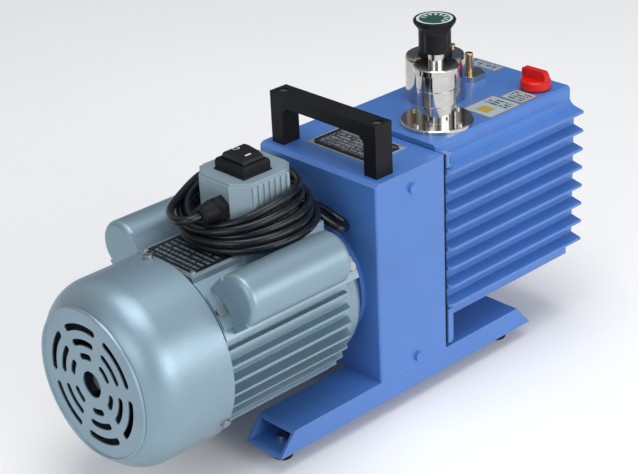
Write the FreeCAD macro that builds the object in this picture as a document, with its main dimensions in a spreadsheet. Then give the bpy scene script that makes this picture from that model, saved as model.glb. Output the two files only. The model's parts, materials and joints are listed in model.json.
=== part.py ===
import FreeCAD, Part

import math
import os

import Sketcher
from FreeCAD import Placement, Rotation, Vector

# Direct-drive rotary vane vacuum pump with a single-phase motor.
#
# Frame: millimetres, +X from the motor's fan cowl to the rear of the oil tank, +Z up,
# Y = 0 on the plane of the motor axis, Z = 0 under the rubber feet.
# The bracket between motor and tank is the reference: its front face is bracket_front.

doc = FreeCAD.newDocument("vane_vacuum_pump")


# ---------------------------------------------------------------- sheet of sizes

SIZES = {
    # bracket and rails
    "bracket_front": -12.7, "bracket_length": 88.9, "bracket_width": 150.0,
    "bracket_top": 236.0, "bracket_bevel": 5.7, "bracket_drop": 3.0,
    "bracket_rounding": 2.5, "rear_wall": 12.0, "chamber_radius": 52.0,
    "axis_height": 124.25,
    "foot_height": 16.2, "foot_radius": 10.5, "foot_toe_radius": 9.0,
    "rail_height": 21.8, "rail_width": 45.8, "rail_wall": 3.0,
    "rail_front": -108.0, "rail_rear": 190.3, "rail_slant": 19.0,
    "foot_front": -104.0, "foot_rear": 186.3,
    # motor, measured back from the bracket's front face
    "cowl_face": 263.4, "cowl_rim": 180.3, "cowl_radius": 84.8, "cowl_wall": 1.5,
    "cowl_shoulder": 35.0, "cowl_overshoot": 4.0, "cowl_face_radius": 67.5,
    "hub_hole_radius": 12.0,
    "frame_radius": 70.0, "frame_bore": 68.0, "frame_rear": 180.0, "frame_front": 29.3,
    "fin_radius": 80.0, "fin_thickness": 2.6, "fin_taper": 10.0, "fin_count": 22,
    "fin_span": 213.0, "fin_first": 73.5,
    "pad_half_width": 37.0, "pad_top": 203.0, "pad_rear": 178.0, "pad_front": 30.3,
    "base_half_width": 40.0, "base_rear": 122.7, "boss_height": 4.0, "boss_radius": 58.0,
    "saddle_radius": 82.0, "shaft_radius": 9.0, "shaft_play": 0.05,
    "core_rear": 140.0, "core_front": 62.0, "core_bore": 40.0, "air_gap": 0.6,
    "winding_length": 22.0, "winding_inner": 44.0, "winding_outer": 62.0,
    "bearing_radius": 17.5, "bearing_width": 12.0, "shield_radius": 70.0, "neck_outer": 52.0,
    "cover_offset": 76.0, "cover_height": 65.65, "cover_radius": 23.9,
    "cover_rear": 167.5, "cover_front": 53.5, "cover_wall": 1.5,
    "cover_rounding": 5.5, "capacitor_radius": 17.5,
    # oil tank, measured from the bracket's front face
    "gasket": 1.5, "tank_rear": 282.3, "tank_top": 241.0, "tank_bottom": 59.5,
    "tank_half_top": 62.2, "tank_half_wall": 67.6, "tank_half_foot": 61.2,
    "tank_slant_top": 227.4, "tank_slant_foot": 219.6, "tank_step": 66.9,
    "tank_flange": 8.0, "tank_flange_half": 76.0, "tank_flange_foot": 42.0,
    "lower_flange_top": 78.0, "upper_flange_foot": 222.5,
    "fin_tip": 79.5, "fin_tip_height": 218.2, "fin_pitch": 19.42,
    "fin_root_half": 4.0, "fin_tip_half": 1.3,
    "cavity_half_width": 56.0, "cavity_floor": 66.0, "cavity_roof": 234.0,
    "cavity_rear_wall": 7.0,
    # handle
    "handle_front": 9.9, "handle_depth": 20.3, "handle_half": 67.05, "handle_leg": 15.2,
    "handle_top": 286.0, "handle_bar": 13.0, "handle_corner": 6.0,
    # vacuum inlet
    "inlet_x": 133.0, "inlet_y": -25.0, "inlet_flange_radius": 34.3, "inlet_flange": 4.0,
    "inlet_foot_radius": 16.5, "inlet_tube_radius": 18.4, "inlet_collar_radius": 21.2,
    "inlet_collar": 51.0, "inlet_shoulder": 57.0, "neck_radius": 7.2, "tail_radius": 7.0,
    "neck_height": 87.0,
    "cap_radius": 10.8, "cap_foot": 69.0, "cap_height": 89.0, "cap_play": 0.3,
    "inlet_bore": 5.0, "inlet_screw_circle": 28.0,
    # gas ballast valve
    "ballast_x": 179.0, "ballast_y": 19.0, "ballast_radius": 28.5, "ballast_height": 44.0,
    "ballast_rim": 3.0, "knob_radius": 15.5, "knob_flare_radius": 20.5, "knob_top": 79.0,
    "dial_radius": 17.6, "dial": 0.8, "stem_radius": 6.0,
    # exhaust nozzle
    "exhaust_x": 237.0, "exhaust_y": 28.0, "union_radius": 16.5, "union_height": 5.5,
    "nozzle_radius": 4.3, "nozzle_height": 26.0, "nozzle_bore": 2.6,
    # oil filler plug
    "filler_x": 256.3, "filler_y": -40.4, "filler_radius": 14.8, "filler_disc": 9.0,
    "grip_length": 29.0, "grip_thickness": 7.0, "grip_height": 9.0,
    "filler_stem": 9.0, "filler_reach": 9.0, "seal_height": 1.4,
    # switch box
    "box_x": -83.3, "box_half_length": 34.9, "box_half_width": 33.5, "box_chamfer": 14.4,
    "box_split": 251.5, "box_top": 261.0, "box_wall": 2.5, "box_edge": 2.0,
    "bezel_x": -87.0, "bezel_y": -3.0, "bezel_half_length": 15.3, "bezel_half_width": 18.5,
    "bezel_top": 271.5, "rocker_top": 278.0, "bezel_skirt": 1.4, "bezel_lip": 1.2,
    "gland_y": -9.0, "gland_height": 238.0, "gland_hexagon": 11.6, "gland_hex_length": 9.0,
    "gland_length": 25.0,
    # mains cord
    "cord_radius": 3.75, "coil_inner": 41.8, "coil_outer": 62.5, "coil_foot": 210.3,
    "coil_top": 244.0,
    # pump stages
    "stage_drop": 3.6, "stator_radius": 50.0, "stator_bore": 38.0, "drum_radius": 34.0,
    "high_stage": 46.0, "low_stage": 26.0, "plate": 12.0, "drum_play": 0.3,
    "vane_half": 1.9, "vane_slot": 2.0, "vane_root": 8.0, "stator_flat": 168.0,
    "coupling_radius": 26.0, "coupling_start": 8.0, "coupling_disc": 20.0,
    "coupling_jaw": 12.0, "jaw_angle": 48.0, "jaw_inner": 12.0,
    # rear fittings
    "glass_y": 18.0, "glass_z": 112.0, "glass_radius": 15.0, "glass_ring": 21.0,
    "drain_y": -24.0, "drain_z": 78.0,
}


class Size:
    """A number together with the sheet expression that gives it."""

    def __init__(self, value, text):
        self.value = float(value)
        self.text = text

    def __float__(self):
        return self.value

    def __neg__(self):
        return Size(-self.value, "(0 - %s)" % self.text)

    def __add__(self, other):
        other = as_size(other)
        return Size(self.value + other.value, "(%s + %s)" % (self.text, other.text))

    def __sub__(self, other):
        other = as_size(other)
        return Size(self.value - other.value, "(%s - %s)" % (self.text, other.text))

    def __mul__(self, other):
        other = as_size(other)
        return Size(self.value * other.value, "(%s * %s)" % (self.text, other.text))

    def __truediv__(self, other):
        other = as_size(other)
        return Size(self.value / other.value, "(%s / %s)" % (self.text, other.text))

    def __radd__(self, other):
        return as_size(other) + self

    def __rsub__(self, other):
        return as_size(other) - self

    def __rmul__(self, other):
        return as_size(other) * self


def as_size(number):
    if isinstance(number, Size):
        return number
    return Size(number, "(%s)" % repr(float(number)))


class Sizes:
    """The driving dimensions, read as attributes and kept in the document's sheet."""

    def __init__(self, table):
        sheet = doc.addObject("Spreadsheet::Sheet", "Sizes")
        for row, (alias, number) in enumerate(table.items(), start=1):
            sheet.set("A%d" % row, alias)
            sheet.set("B%d" % row, str(number))
            sheet.setAlias("B%d" % row, alias)
            setattr(self, alias, Size(number, "Sizes.%s" % alias))
        doc.recompute()


s = Sizes(SIZES)


# ---------------------------------------------------------------- building blocks

NODES = []
UPRIGHT = Rotation()
TURN = {
    "x": Rotation(Vector(0, 1, 0), 90),
    "y": Rotation(Vector(1, 0, 0), -90),
    "z": UPRIGHT,
}
PLANES = {"xy": "XY_Plane", "xz": "XZ_Plane", "yz": "YZ_Plane"}


def node(name, thing):
    """Names a finished sub-part: the label is also the name of its file."""
    thing.Label = name
    NODES.append(thing)
    return thing


def bind(thing, **sizes):
    for prop, size in sizes.items():
        size = as_size(size)
        setattr(thing, prop, size.value)
        thing.setExpression(prop, size.text)


def place(thing, x=0, y=0, z=0, turn=UPRIGHT):
    spot = [as_size(x), as_size(y), as_size(z)]
    thing.Placement = Placement(Vector(*[float(c) for c in spot]), turn)
    for letter, size in zip("xyz", spot):
        thing.setExpression("Placement.Base.%s" % letter, size.text)


def block(x, y, z):
    """Box between the low and high value of each axis."""
    solid = doc.addObject("Part::Box", "Block")
    x, y, z = [[as_size(c) for c in pair] for pair in (x, y, z)]
    bind(solid, Length=x[1] - x[0], Width=y[1] - y[0], Height=z[1] - z[0])
    place(solid, x[0], y[0], z[0])
    return solid


def rod(axis, low, high, centre, radius, angle=360):
    """Cylinder along one axis; centre gives the two other coordinates in order."""
    solid = doc.addObject("Part::Cylinder", "Rod")
    low, high = as_size(low), as_size(high)
    bind(solid, Radius=radius, Height=high - low)
    solid.Angle = angle
    spot = list(centre)
    spot.insert("xyz".index(axis), low)
    place(solid, *spot, turn=TURN[axis])
    return solid


def on_axis(low, high, radius):
    """Cylinder on the common axis of motor and pump, measured from the bracket's front."""
    return rod("x", s.bracket_front + low, s.bracket_front + high, (0, s.axis_height), radius)


def hexagon(axis, low, high, centre, radius):
    solid = doc.addObject("Part::Prism", "Hexagon")
    solid.Polygon = 6
    low, high = as_size(low), as_size(high)
    bind(solid, Circumradius=radius, Height=high - low)
    spot = list(centre)
    spot.insert("xyz".index(axis), low)
    place(solid, *spot, turn=TURN[axis])
    return solid


def cut(base, *tools):
    result = doc.addObject("Part::Cut", "Cut")
    result.Base = base
    result.Tool = tools[0] if len(tools) == 1 else group(*tools)
    return result


def fuse(*parts):
    result = doc.addObject("Part::MultiFuse", "Fuse")
    result.Shapes = list(parts)
    return result


def common(*parts):
    result = doc.addObject("Part::MultiCommon", "Common")
    result.Shapes = list(parts)
    return result


def group(*parts):
    result = doc.addObject("Part::Compound", "Group")
    result.Links = list(parts)
    return result


def mirrored(part):
    """The same part on the other side of the motor's vertical plane."""
    result = doc.addObject("Part::Mirroring", "Mirrored")
    result.Source = part
    result.Normal = (0, 1, 0)
    return result


def outline(body, plane, points):
    """Closed sketch whose corners are held by sheet expressions."""
    sketch = body.newObject("Sketcher::SketchObject", "Outline")
    support = [f for f in body.Origin.OriginFeatures if f.Role == PLANES[plane]]
    sketch.AttachmentSupport = (support[0], [""])
    sketch.MapMode = "FlatFace"
    corners = [(as_size(u), as_size(v)) for u, v in points]
    count = len(corners)
    for i in range(count):
        ends = [Vector(float(c[0]), float(c[1]), 0) for c in (corners[i], corners[(i + 1) % count])]
        sketch.addGeometry(Part.LineSegment(*ends), False)
    for i in range(count):
        sketch.addConstraint(Sketcher.Constraint("Coincident", i, 2, (i + 1) % count, 1))
    for i, corner in enumerate(corners):
        for kind, size in zip(("DistanceX", "DistanceY"), corner):
            index = sketch.addConstraint(Sketcher.Constraint(kind, -1, 1, i, 1, size.value))
            sketch.setExpression("Constraints[%d]" % index, size.text)
    return sketch


def turned(axis, points, x=0, y=0, z=0):
    """Turned piece: points are (distance along the axis, radius), axis x or z."""
    body = doc.addObject("PartDesign::Body", "Turned")
    pairs = points if axis == "x" else [(radius, along) for along, radius in points]
    sketch = outline(body, "xz", pairs)
    turn = body.newObject("PartDesign::Revolution", "Turn")
    turn.Profile = sketch
    turn.ReferenceAxis = (sketch, ["H_Axis" if axis == "x" else "V_Axis"])
    turn.Angle = 360
    place(body, x, y, z)
    return body


def rounded(body, radius, is_chosen):
    """Rounds the edges of a body's solid that pass a test on the edge."""
    doc.recompute()
    solid = body.Tip
    chosen = ["Edge%d" % i for i, edge in enumerate(solid.Shape.Edges, start=1) if is_chosen(edge)]
    fillet = body.newObject("PartDesign::Fillet", "Rounding")
    fillet.Base = (solid, chosen)
    bind(fillet, Radius=radius)
    body.Tip = fillet
    return body


def turned_on_axis(points):
    """Turned piece on the motor axis; distances run from the bracket's front face."""
    shifted = [(s.bracket_front + along, radius) for along, radius in points]
    return turned("x", shifted, z=s.axis_height)


def prism(plane, points, low, high):
    """Extruded outline between two planes square to the third axis."""
    body = doc.addObject("PartDesign::Body", "Prism")
    low, high = as_size(low), as_size(high)
    pad = body.newObject("PartDesign::Pad", "Pad")
    pad.Profile = outline(body, plane, points)
    bind(pad, Length=high - low)
    if plane == "xy":
        place(body, z=low)
    if plane == "yz":
        place(body, x=low)
    if plane == "xz":
        place(body, y=high)
    return body


def screw(point, inward, head, shank):
    """Pan-head screw; point is under the head, inward the way the shank runs.

    head and shank are (radius, length).
    """
    inward = Vector(*inward).normalize()
    point = Vector(*[float(c) for c in point])
    parts = []
    for radius, length, way in ((head[0], head[1], -inward), (shank[0], shank[1], inward)):
        cylinder = doc.addObject("Part::Cylinder", "Shank")
        bind(cylinder, Radius=radius, Height=length)
        cylinder.Placement = Placement(point, Rotation(Vector(0, 0, 1), way))
        parts.append(cylinder)
    return fuse(*parts)


def around_axis(angle, radius, along):
    """Point at a radius from the motor axis; angle runs from -Y towards +Z."""
    turn = math.radians(angle)
    radius = float(radius)
    return Vector(
        float(s.bracket_front + along),
        -radius * math.cos(turn),
        float(s.axis_height) + radius * math.sin(turn),
    )


def inwards(angle):
    turn = math.radians(angle)
    return (0, math.cos(turn), -math.sin(turn))


# ---------------------------------------------------------------- shared places

rail_top = s.foot_height + s.rail_height
bracket_rear = s.bracket_front + s.bracket_length
tank_front = bracket_rear + s.gasket
tank_rear = s.bracket_front + s.tank_rear
half_bracket = s.bracket_width / 2
rail_centre = half_bracket - s.rail_width / 2
FOOT_SPOTS = [(s.bracket_front + x, side * rail_centre)
              for x in (s.foot_front, s.foot_rear) for side in (-1, 1)]
FLOOR_SCREW = {"head": (5.0, 3.4), "shank": (2.6, 12.0)}
M5_HEAD = (4.4, 3.0)
M5_SHANK = (2.3, 9.0)
M5_HOLE = 2.5


# ---------------------------------------------------------------- rails and feet

def foot_rails():
    slope = s.rail_slant
    low, high = s.foot_height, rail_top
    front, rear = s.bracket_front + s.rail_front, s.bracket_front + s.rail_rear
    side = [(front - slope, low), (rear + slope, low), (rear, high), (front, high)]
    shell = prism("xz", side, -half_bracket, -half_bracket + s.rail_width)
    hollow = block((front - 2 * slope, rear + 2 * slope),
                   (-half_bracket + s.rail_wall, -half_bracket + s.rail_width - s.rail_wall),
                   (low + s.rail_wall, high - s.rail_wall))
    holes = [rod("z", low - 1, low + s.rail_wall + 1, (x, -rail_centre), 2.8)
             for x, y in FOOT_SPOTS if float(y) < 0]
    near = cut(shell, hollow, *holes)
    node("foot_rails", group(near, mirrored(near)))


def rubber_feet():
    feet = []
    for x, y in FOOT_SPOTS:
        profile = [(0.0, 0.0), (0.0, s.foot_toe_radius - 1), (1.0, s.foot_toe_radius),
                   (s.foot_height, s.foot_radius), (s.foot_height, 2.8), (3.0, 2.8), (3.0, 0.0)]
        feet.append(turned("z", profile, x, y))
    node("rubber_feet", group(*feet))


def feet_screws():
    floor = s.foot_height + s.rail_wall
    screws = [screw((x, y, floor), (0, 0, -1), FLOOR_SCREW["head"], FLOOR_SCREW["shank"])
              for x, y in FOOT_SPOTS]
    node("feet_screws", group(*screws))


# ---------------------------------------------------------------- bracket and handle

SIDE_SCREWS = ((45.5, 218.5), (48.7, 46.0))
HANDLE_SINK = 7.0


def handle_screw_spots():
    x = s.bracket_front + s.handle_front + s.handle_depth / 2
    y = s.handle_half - s.handle_leg / 2
    return [(x, side * y) for side in (-1, 1)]


def pump_bracket():
    front, rear = s.bracket_front, bracket_rear
    side = [(front, rail_top), (rear, rail_top), (rear, s.bracket_top),
            (front + s.bracket_bevel, s.bracket_top), (front, s.bracket_top - s.bracket_drop)]
    casting = prism("xz", side, -half_bracket, half_bracket)
    upright = float(s.bracket_top - rail_top) * 0.9
    rounded(casting, s.bracket_rounding, lambda edge: edge.BoundBox.ZLength > upright)
    boss = on_axis(-s.boss_height, 1, s.boss_radius)
    chamber = on_axis(3, s.bracket_length - s.rear_wall, s.chamber_radius)
    mouth = on_axis(-s.boss_height - 1, 4, s.chamber_radius - 4)
    shaft_bore = on_axis(0, s.bracket_length + 1, s.shaft_radius + s.shaft_play)
    holes = [rod("z", s.bracket_top - 12, s.bracket_top + 1, spot, 3.2)
             for spot in handle_screw_spots()]
    for x, z in SIDE_SCREWS:
        for side in (-1, 1):
            middle = side * (half_bracket - 5)
            holes.append(rod("y", middle - 6, middle + 6, (s.bracket_front + x, z), M5_HOLE))
    node("pump_bracket", cut(fuse(casting, boss), chamber, mouth, shaft_bore, *holes))


def handle():
    half, leg, top, corner = s.handle_half, s.handle_leg, s.handle_top, s.handle_corner
    inner, under = half - leg, top - s.handle_bar
    shape = [(-half, s.bracket_top), (-inner, s.bracket_top), (-inner, under - corner),
             (corner - inner, under), (inner - corner, under), (inner, under - corner),
             (inner, s.bracket_top), (half, s.bracket_top), (half, top), (-half, top)]
    front = s.bracket_front + s.handle_front
    bar = prism("yz", shape, front, front + s.handle_depth)
    holes = []
    for spot in handle_screw_spots():
        holes.append(rod("z", top - HANDLE_SINK, top + 1, spot, 5.4))
        holes.append(rod("z", s.bracket_top - 1, top, spot, 3.2))
    node("handle", cut(bar, *holes))
    seat = s.handle_top - HANDLE_SINK
    screws = [screw((x, y, seat), (0, 0, -1), (5.0, 5.0), (2.9, seat - s.bracket_top + 10))
              for x, y in handle_screw_spots()]
    node("handle_screws", group(*screws))


PLATE_X = (29.0, 78.0)
PLATE_Y = (-38.0, 42.0)
MOTOR_PLATE_X = (-176.0, -122.0)
MOTOR_PLATE_Y = (-35.0, 35.0)
PLATE_THICKNESS = 0.8


def plate_corners(x, y, inset):
    return [(s.bracket_front + a, b) for a in (x[0] + inset, x[1] - inset)
            for b in (y[0] + inset, y[1] - inset)]


def nameplates():
    x = [s.bracket_front + a for a in PLATE_X]
    sheet = block(x, PLATE_Y, (s.bracket_top, s.bracket_top + PLATE_THICKNESS))
    holes = [rod("z", s.bracket_top - 1, s.bracket_top + 2, spot, 1.3)
             for spot in plate_corners(PLATE_X, PLATE_Y, 4.0)]
    node("bracket_nameplate", cut(sheet, *holes))
    x = [s.bracket_front + a for a in MOTOR_PLATE_X]
    sheet = block(x, MOTOR_PLATE_Y, (s.pad_top, s.pad_top + PLATE_THICKNESS))
    holes = [rod("z", s.pad_top - 1, s.pad_top + 2, spot, 1.3)
             for spot in plate_corners(MOTOR_PLATE_X, MOTOR_PLATE_Y, 4.0)]
    node("motor_nameplate", cut(sheet, *holes))
    rivets = []
    for spots, height in ((plate_corners(PLATE_X, PLATE_Y, 4.0), s.bracket_top),
                          (plate_corners(MOTOR_PLATE_X, MOTOR_PLATE_Y, 4.0), s.pad_top)):
        for x, y in spots:
            rivets.append(screw((x, y, height + PLATE_THICKNESS), (0, 0, -1),
                                (2.2, 0.9), (1.2, PLATE_THICKNESS)))
    node("nameplate_rivets", group(*rivets))


# ---------------------------------------------------------------- motor housing

COWL_RINGS = ((22.4, 28.3), (35.1, 41.0), (48.5, 54.8))
COWL_SPOKES = 6
SPOKE_WIDTH = 10.4
FIRST_SPOKE = 11.5
COWL_SCREW_ANGLES = (98.0, -30.0, 214.0)
COVER_ANGLE = 40.8
COVER_SCREWS = ((40.8, -185.2, 1.5), (31.6, -41.5, 0.0))
COWL_BACK = 10.0


def grille_slot(inner, outer, middle):
    """One arc-shaped slot with round ends; middle is its angle from -Y towards +Z."""
    radius = (inner + outer) / 2
    end = (outer - inner) / 2
    half = math.pi / COWL_SPOKES - math.asin((SPOKE_WIDTH / 2 + end) / radius)
    middle = math.radians(middle)
    face = float(s.bracket_front - s.cowl_face) - 1
    height = float(s.axis_height)

    def spot(distance, turn):
        return Vector(face, -distance * math.cos(turn), height + distance * math.sin(turn))

    low, high = middle - half, middle + half
    beyond = end / radius
    edges = [
        Part.Arc(spot(outer, low), spot(outer, middle), spot(outer, high)),
        Part.Arc(spot(outer, high), spot(radius, high + beyond), spot(inner, high)),
        Part.Arc(spot(inner, high), spot(inner, middle), spot(inner, low)),
        Part.Arc(spot(inner, low), spot(radius, low - beyond), spot(outer, low)),
    ]
    wire = Part.Wire([edge.toShape() for edge in edges])
    return Part.Face(wire).extrude(Vector(4, 0, 0))


def round_nosed(rear, front, radius, nose):
    """Cylinder on the motor axis whose rear edge is rounded."""
    body = turned_on_axis([(rear, 0.0), (front, 0.0), (front, radius), (rear, radius)])
    end = float(s.bracket_front + rear)
    return rounded(body, nose, lambda edge: abs(edge.BoundBox.XMax - end) < 0.01)


def fan_cowl():
    face, rim, wall = -s.cowl_face, -s.cowl_rim, s.cowl_wall
    ring, side = s.cowl_face_radius, s.cowl_radius
    nose = s.cowl_shoulder
    beyond = face - s.cowl_overshoot
    outside = cut(round_nosed(beyond, rim, side, nose), on_axis(beyond - 1, face, side + 1))
    inside = cut(round_nosed(beyond + wall, rim + 1, side - wall, nose - wall),
                 on_axis(beyond - 1, face + wall, side))
    bead = turned_on_axis([
        (face + 0.6, ring - 1.8), (face - 0.9, ring - 1.1), (face - 1.3, ring),
        (face - 0.9, ring + 1.1), (face + 1.3, ring + 1.9)])
    hub = on_axis(face - 1, face + wall + 1, s.hub_hole_radius)
    shell = cut(fuse(outside, bead), inside, hub)
    slots = doc.addObject("Part::Feature", "Slots")
    shapes = []
    for inner, outer in COWL_RINGS:
        for k in range(COWL_SPOKES):
            middle = FIRST_SPOKE + (k + 0.5) * 360 / COWL_SPOKES
            shapes.append(grille_slot(inner, outer, middle))
    slots.Shape = Part.makeCompound(shapes)
    holes = []
    for angle in COWL_SCREW_ANGLES:
        hole = doc.addObject("Part::Cylinder", "ScrewHole")
        bind(hole, Radius=M5_HOLE, Height=8)
        spot = around_axis(angle, s.cowl_radius + 3, -s.cowl_rim - 4.5)
        hole.Placement = Placement(spot, Rotation(Vector(0, 0, 1), Vector(*inwards(angle))))
        holes.append(hole)
    node("fan_cowl", cut(shell, slots, *holes))


def housing_screws():
    """The same pan-head screw holds the cowl, the capacitor covers and the bracket's sides."""
    screws = []
    for x, z in SIDE_SCREWS:
        for side in (-1, 1):
            spot = (s.bracket_front + x, side * half_bracket, z)
            screws.append(screw(spot, (0, -side, 0), M5_HEAD, M5_SHANK))
    for angle in COWL_SCREW_ANGLES:
        spot = around_axis(angle, s.cowl_radius, -s.cowl_rim - 4.5)
        screws.append(screw(spot, inwards(angle), M5_HEAD, M5_SHANK))
    for angle, along, height in COVER_SCREWS:
        for turn in (angle, 180 - angle):
            spot = around_axis(turn, s.saddle_radius + height, -s.bracket_front + along)
            screws.append(screw(spot, inwards(turn), M5_HEAD, M5_SHANK))
    node("housing_screws", group(*screws))


def ribbed_tube():
    """Frame tube with cooling fins, drawn with the first fin upright."""
    body = doc.addObject("PartDesign::Body", "Ribbed")
    rear, front = s.bracket_front - s.frame_rear, s.bracket_front - s.frame_front
    bore, skin, tip = s.frame_bore, s.frame_radius, s.fin_radius
    tube = body.newObject("PartDesign::Revolution", "Tube")
    sketch = outline(body, "xz", [(rear, bore), (front, bore), (front, skin), (rear, skin)])
    tube.Profile = sketch
    tube.ReferenceAxis = (sketch, ["H_Axis"])
    tube.Angle = 360
    doc.recompute()
    fin = body.newObject("PartDesign::Pad", "Fin")
    fin.Profile = outline(body, "xz", [
        (rear, skin - 1), (front - 5, skin - 1), (front - 5, skin + 0.5),
        (front - s.fin_taper, tip), (rear, tip)])
    fin.Midplane = True
    bind(fin, Length=s.fin_thickness)
    doc.recompute()
    ring = body.newObject("PartDesign::PolarPattern", "Fins")
    ring.Originals = [fin]
    ring.Axis = (sketch, ["H_Axis"])
    bind(ring, Angle=s.fin_span)
    ring.Occurrences = int(SIZES["fin_count"])
    body.Tip = ring
    place(body, z=s.axis_height, turn=Rotation(Vector(1, 0, 0), SIZES["fin_first"]))
    return body


SADDLE_FOOT = 32.4
EAR_FRONT = -36.0
EAR_TOP = 50.0


def motor_frame():
    rear, front = s.bracket_front - s.pad_rear, s.bracket_front - s.pad_front
    half = s.pad_half_width
    pad = block((rear, front), (-half, half), (s.axis_height + 40, s.pad_top))
    base = block((s.bracket_front - s.base_rear, front), (-s.base_half_width, s.base_half_width),
                 (s.axis_height + 40, s.pad_top))
    saddle_rear = s.bracket_front - s.cover_rear - 10
    saddle_front = s.bracket_front - s.cover_front + 10
    foot = s.axis_height + SADDLE_FOOT
    seat = block((saddle_rear, saddle_front), (-s.saddle_radius, -half), (foot, s.pad_top))
    ear = block((saddle_front - 1, EAR_FRONT), (-s.saddle_radius, -half),
                (foot, s.axis_height + EAR_TOP))
    saddle = common(fuse(seat, ear), on_axis(-s.cover_rear - 10, 1, s.saddle_radius))
    bore = on_axis(-s.pad_rear - 4, -s.frame_front + 1, s.frame_bore)
    shield_room = on_axis(-s.frame_front, 1, s.shield_radius + 0.2)
    pad_room = block((rear + 5, front - 8), (5 - half, half - 5),
                     (s.axis_height + s.frame_radius + 0.5, s.pad_top - 4))
    holes = []
    for angle, along, height in COVER_SCREWS:
        for turn in (angle, 180 - angle):
            hole = doc.addObject("Part::Cylinder", "ScrewHole")
            bind(hole, Radius=M5_HOLE, Height=14)
            spot = around_axis(turn, s.saddle_radius + 1, -s.bracket_front + along)
            hole.Placement = Placement(spot, Rotation(Vector(0, 0, 1), Vector(*inwards(turn))))
            holes.append(hole)
    whole = fuse(ribbed_tube(), pad, base, saddle, mirrored(saddle))
    node("motor_frame", cut(whole, bore, shield_room, pad_room, *holes))


def end_shields():
    rear, seat = -s.frame_rear, s.bearing_radius
    node("rear_end_shield", turned_on_axis([
        (rear - 4, seat + 5), (rear + 8, seat + 5), (rear + 8, seat), (rear - 4, seat),
        (rear - 4, s.shaft_radius + 2), (rear - 7, s.shaft_radius + 2),
        (rear - 7, s.frame_radius), (rear, s.frame_radius), (rear, s.frame_bore),
        (rear + 5, s.frame_bore), (rear + 5, s.frame_bore - 5), (rear - 1, s.frame_bore - 8),
        (rear - 4, seat + 12)]))
    front = -s.frame_front
    node("front_end_shield", turned_on_axis([
        (front - 12, seat + 5), (front - 12, seat), (front, seat),
        (front, s.shaft_radius + 2), (-20.0, s.shaft_radius + 2), (-20.0, s.neck_outer - 6),
        (-s.boss_height, s.neck_outer - 6), (-s.boss_height, s.neck_outer),
        (-6.5, s.neck_outer), (-10.0, 60.0), (-15.0, 66.0), (-20.0, 69.0),
        (front, s.shield_radius), (front, s.frame_bore), (front - 5, s.frame_bore),
        (front - 5, s.frame_bore - 5), (front + 2, s.frame_bore - 8), (front + 2, seat + 5)]))


def motor_inside():
    core_rear, core_front = -s.core_rear, -s.core_front
    node("stator_core", cut(on_axis(core_rear, core_front, s.frame_bore),
                            on_axis(core_rear - 1, core_front + 1, s.core_bore)))
    turns = s.winding_length
    coils = [cut(on_axis(low, high, s.winding_outer), on_axis(low - 1, high + 1, s.winding_inner))
             for low, high in ((core_rear - turns, core_rear), (core_front, core_front + turns))]
    node("stator_windings", group(*coils))
    rotor = on_axis(core_rear, core_front, s.core_bore - s.air_gap)
    node("motor_rotor", cut(rotor, on_axis(core_rear - 1, core_front + 1, s.shaft_radius)))
    node("motor_shaft", on_axis(8 - s.cowl_face, s.coupling_start + 16, s.shaft_radius))
    inner = s.shaft_radius + s.shaft_play
    width = s.bearing_width
    races = []
    for low in (-s.frame_rear - 4, -s.frame_front - width):
        races.append(cut(on_axis(low, low + width, s.bearing_radius),
                         on_axis(low - 1, low + width + 1, inner)))
    node("motor_bearings", group(*races))


FAN_BLADES = 8
FAN_REAR = -238.0
FAN_FRONT = -206.0


def cooling_fan():
    wheel = turned_on_axis([
        (FAN_REAR, s.shaft_radius), (FAN_FRONT, s.shaft_radius), (FAN_FRONT, 62.0),
        (FAN_FRONT - 2.5, 62.0), (FAN_FRONT - 2.5, 15.0), (FAN_REAR, 15.0)])
    blades = []
    for k in range(FAN_BLADES):
        blade = doc.addObject("Part::Box", "Blade")
        bind(blade, Length=FAN_FRONT - FAN_REAR - 2, Width=2.0, Height=54.0)
        turn = Rotation(Vector(1, 0, 0), k * 360 / FAN_BLADES)
        spot = around_axis(0, 0, FAN_REAR) + turn.multVec(Vector(0, -1, 14))
        blade.Placement = Placement(spot, turn)
        blades.append(blade)
    node("cooling_fan", fuse(wheel, *blades))


COVER_FLARE = 0.85
COVER_DEPTH = 34.0


def capacitor_cover_section(inset):
    """Side walls of a cover: from the round crown down to the frame, near side."""
    turn = math.radians(COVER_ANGLE)
    radial = (-math.cos(turn), math.sin(turn))
    across = (-math.sin(turn), -math.cos(turn))
    reach = s.cover_radius - inset
    centre = (-s.cover_offset, s.axis_height + s.cover_height)
    low = (centre[0] + across[0] * reach, centre[1] + across[1] * reach)
    high = (centre[0] - across[0] * reach, centre[1] - across[1] * reach)
    foot = COVER_FLARE * reach
    roots = [(centre[0] + across[0] * w - radial[0] * COVER_DEPTH,
              centre[1] + across[1] * w - radial[1] * COVER_DEPTH) for w in (foot, -foot)]
    return [low, roots[0], roots[1], high]


def round_ended(rear, front, radius, rounding):
    """Cylinder on the near capacitor's axis with both end edges rounded."""
    body = turned("x", [(rear, 0.0), (front, 0.0), (front, radius), (rear, radius)],
                  0, -s.cover_offset, s.axis_height + s.cover_height)
    ends = (float(rear), float(front))
    return rounded(body, rounding, lambda edge: edge.BoundBox.XLength < 0.01
                   and min(abs(edge.BoundBox.XMax - end) for end in ends) < 0.01
                   and edge.BoundBox.YLength > float(radius))


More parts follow.
